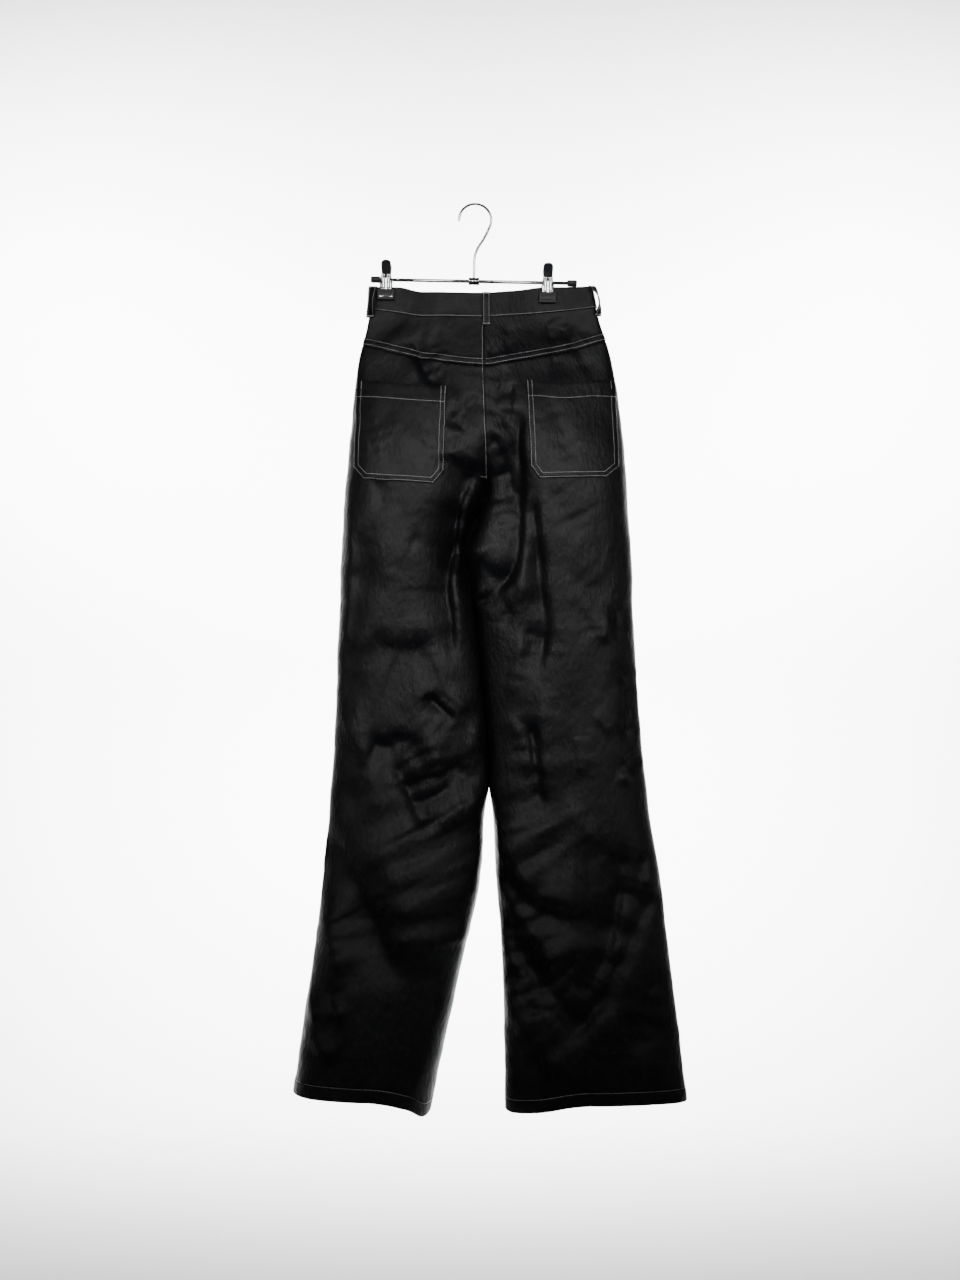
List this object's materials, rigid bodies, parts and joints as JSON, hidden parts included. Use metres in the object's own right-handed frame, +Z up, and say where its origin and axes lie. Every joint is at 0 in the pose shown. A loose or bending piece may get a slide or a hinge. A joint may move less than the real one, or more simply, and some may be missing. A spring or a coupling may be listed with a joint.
{
  "type": "faux leather trousers on a clip hanger",
  "caption": "High-waisted wide-leg faux leather trousers with contrast topstitching, patch back pockets and a back yoke, hung by the waistband from a clip hanger.",
  "frame": {"origin": "underside of the hook's crown, where the rail carries the hanger", "axes": "+Z up, -Y out of the back of the trousers, +X towards the wearer's right"},
  "size_m": [0.5128, 0.117, 1.1795],
  "materials": {
    "faux_leather": "black polyurethane-coated cloth, fine pebble grain, satin",
    "thread": "spun polyester topstitching thread",
    "zip_tape": "woven polyester tape",
    "button": "polished resin",
    "chromed_steel": "bright chrome plating",
    "black_rubber": "soft moulded rubber"
  },
  "bodies": {
    "root": {"waistband": "faux_leather", "fly": "faux_leather", "yoke_left": "faux_leather", "yoke_right": "faux_leather", "back_left": "faux_leather", "back_right": "faux_leather", "front_left": "faux_leather", "front_right": "faux_leather", "pocket_left": "faux_leather", "pocket_right": "faux_leather", "loop_back": "faux_leather", "loop_side_left": "faux_leather", "loop_side_right": "faux_leather", "loop_front_left": "faux_leather", "loop_front_right": "faux_leather", "zip": "zip_tape", "waist_button": "button", "hanger_rod": "chromed_steel", "hook": "chromed_steel", "clip_left_jaw_front": "chromed_steel", "clip_left_jaw_back": "chromed_steel", "clip_left_spring": "chromed_steel", "clip_right_jaw_front": "chromed_steel", "clip_right_jaw_back": "chromed_steel", "clip_right_spring": "chromed_steel", "cap_left": "black_rubber", "cap_right": "black_rubber", "clip_left_pad_front": "black_rubber", "clip_left_pad_back": "black_rubber", "clip_right_pad_front": "black_rubber", "clip_right_pad_back": "black_rubber"}
  },
  "joints": []
}
